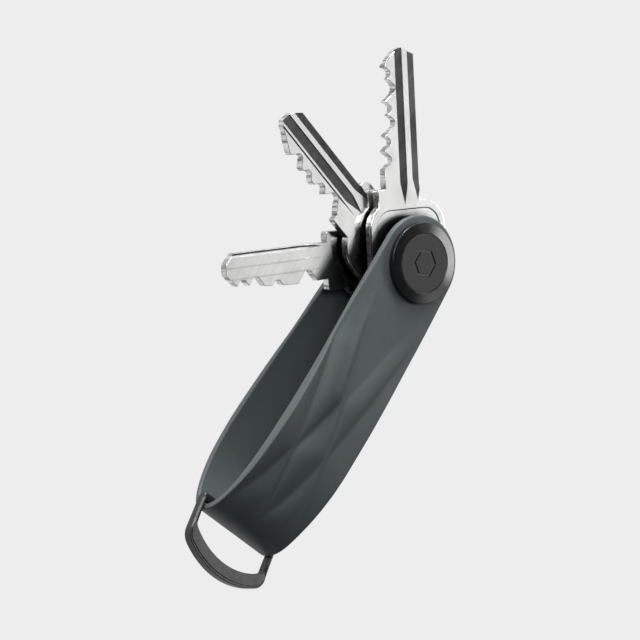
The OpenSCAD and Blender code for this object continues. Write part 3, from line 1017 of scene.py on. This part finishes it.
def ring():
    """D-ring: straight bar, rounded legs and a wide flat bow with a groove along it."""
    low, high = box_mm("ring")
    outer_half = high[1]
    reach, leg_w, bow_w = 12.4, 1.0, 3.0
    outer = bow_line(outer_half, reach, 18.1, 3.2)
    inner = bow_line(outer_half - leg_w, reach - bow_w, 16.2, 1.0)
    flatness = smooth_step(outer[:, 0], 4.5, 9.5)[:, None]
    across = inner - outer
    width = np.linalg.norm(across, axis=1)[:, None]
    unit = across / width
    top, bottom = RING_BAR_R, -RING_BAR_R
    swell_h, soft, groove_h = 0.42, 0.12, 0.18
    groove = (0.45, 0.60)
    none = 0 * width

    def level(offset, z):
        return np.hstack([outer + unit * offset, np.broadcast_to(z, (len(outer), 1))])

    def crown(offset, sunk=0.0):
        """Upper face: flat across the bow, rounded across the legs."""
        swell = (1 - flatness) * swell_h * (2 * offset / width - 1) ** 2
        return level(offset, top - swell - sunk * flatness)

    rim_z = top - (1 - flatness) * swell_h - soft * flatness
    sections = [level(none, bottom + soft), level(none, rim_z)]
    sections += [crown(none + w, groove_h if w in groove else 0.0) for w in (soft, 0.38, *groove, 0.67)]
    sections += [crown(width - soft), level(width, rim_z), level(width, bottom + soft),
                 level(width - soft, bottom), level(none + soft, bottom)]
    count = len(sections)
    points = [tuple(section[k]) for k in range(len(outer)) for section in sections]
    faces = grid_faces(len(outer), count) + [cap[::-1] for cap in caps(len(outer), count)]
    obj = new_object("d_ring_steel", points, faces, [ring_black])
    profile = [(0, -outer_half), (RING_BAR_R, -outer_half), (RING_BAR_R, outer_half), (0, outer_half)]
    bar = lathe("bar", chamfered(profile, 0.4, 5), [ring_black], segments=48)
    bar.data.transform(Matrix.Rotation(math.pi / 2, 4, "X"))
    boolean(obj, [bar], "UNION")
    place = Matrix.Translation(((low[0] + RING_BAR_R) * MM, 0, (low[2] + RING_BAR_R) * MM))
    obj.data.transform(place @ Matrix.Rotation(math.radians(-RING_LEAN), 4, "Y"))
    smooth(obj, 24)
    return fit(obj, "ring", "ring_metal", "ring")


band()
front_button()
button_inlay()
for name in ("spacer_1", "spacer_2", "spacer_3", "spacer_4"):
    spacer(name)
for name in ("front_eyelet", "back_eyelet"):
    eyelet(name)
post()
keys()
friction_washer()
back_button()
coin_screw()
ring()


# ---- studio ----
def studio():
    """Pale floor lit evenly from within like a light table, and a pale dome that only the camera sees."""
    pale, tree, shader = node_material("studio_pale")
    shade = ramp(tree, noise(tree, 3, 2), [(0.3, 0.798), (0.7, 0.802)])
    tree.links.new(shade, shader.inputs["Emission Color"])
    shader.inputs["Emission Strength"].default_value = 1.03
    shader.inputs["Base Color"].default_value = (0.02, 0.02, 0.02, 1)
    shader.inputs["Roughness"].default_value = 1.0
    shader.inputs["Specular IOR Level"].default_value = 0.0
    half, drop, dome_r = 3000, -420, 3900
    corners = [(-half, -half, drop), (half, -half, drop), (half, half, drop), (-half, half, drop)]
    floor = new_object("studio_floor", corners, [(0, 1, 2, 3)], [pale])
    profile = [(dome_r * math.cos(a), dome_r * math.sin(a)) for a in np.radians(np.linspace(-90, 90, 19))]
    dome = lathe("studio_dome", profile, [pale], segments=48)
    dome.visible_glossy = False
    dome.visible_diffuse = False
    dome.visible_shadow = False
    world = bpy.data.worlds.new("studio_world")
    bpy.context.scene.world = world
    world.use_nodes = True
    background = world.node_tree.nodes["Background"]
    background.inputs["Color"].default_value = (1, 1, 1, 1)
    background.inputs["Strength"].default_value = 0.0


def softbox(name, toward, radius, radiance):
    """Round softbox 1.5 m away in a direction, seen from the object with a radius in degrees."""
    distance = 1.5
    size = 2 * distance * math.tan(math.radians(radius))
    lamp = bpy.data.lights.new(name, "AREA")
    lamp.shape = "DISK"
    lamp.size = size
    lamp.energy = radiance * math.pi * math.pi * size * size / 4
    obj = bpy.data.objects.new(name, lamp)
    bpy.context.scene.collection.objects.link(obj)
    direction = Vector(toward).normalized()
    obj.location = (cad_low + cad_high) / 2 + direction * distance
    obj.rotation_mode = "QUATERNION"
    obj.rotation_quaternion = direction.to_track_quat("Z", "Y")
    return obj


def camera():
    """Camera at the photo's angle, from a fit to the outlines of the band, the buttons and the keys."""
    data = bpy.data.cameras.new("camera")
    data.sensor_width = 36
    data.lens = 111.28
    data.clip_start = 0.01
    obj = bpy.data.objects.new("camera", data)
    bpy.context.scene.collection.objects.link(obj)
    right = Vector((-0.4642, 0.6390, 0.6134)).normalized()
    down = Vector((0.8343, 0.5480, 0.0604))
    down = (down - right * down.dot(right)).normalized()
    forward = right.cross(down)
    turn = Matrix((right, -down, -forward)).transposed().to_4x4()
    obj.matrix_world = Matrix.Translation((0.13805, -0.22255, 0.30181)) @ turn
    bpy.context.scene.camera = obj


studio()
softbox("key_light", (-0.54, 0.66, 0.52), 11, 5.3)
softbox("key_light_low", (-0.42, 0.80, 0.42), 7, 1.7)
softbox("key_light_side", (-0.70, 0.50, 0.50), 7, 3.3)
softbox("reflector", (-0.35, 0.52, 0.78), 9.5, 0.84)
softbox("reflector_low", (-0.20, 0.74, 0.64), 7, 1.18)
softbox("front_fill", (-0.36, -0.80, 0.48), 12, 3.4)
softbox("front_fill_side", (-0.574, -0.745, 0.342), 12, 1.8)
softbox("front_fill_low", (0, -0.80, 0.60), 14, 1.74)
softbox("overhead_front", (-0.729, -0.669, 0.146), 11, 41.9)
softbox("overhead_middle", (-0.86, -0.47, 0.20), 11, 4.5)
softbox("overhead_back", (-0.985, 0, 0.17), 11, 3.9)
softbox("overhead_high", (-0.78, -0.45, 0.43), 12, 3.2)
softbox("left_fill", (-0.93, -0.05, 0.38), 12, 5.8)
softbox("left_back_fill", (-0.86, 0.30, 0.45), 10, 1.7)
softbox("camera_fill", (-0.10, -0.45, 0.89), 12, 7.3)
camera()
bpy.context.scene.view_settings.view_transform = "Standard"
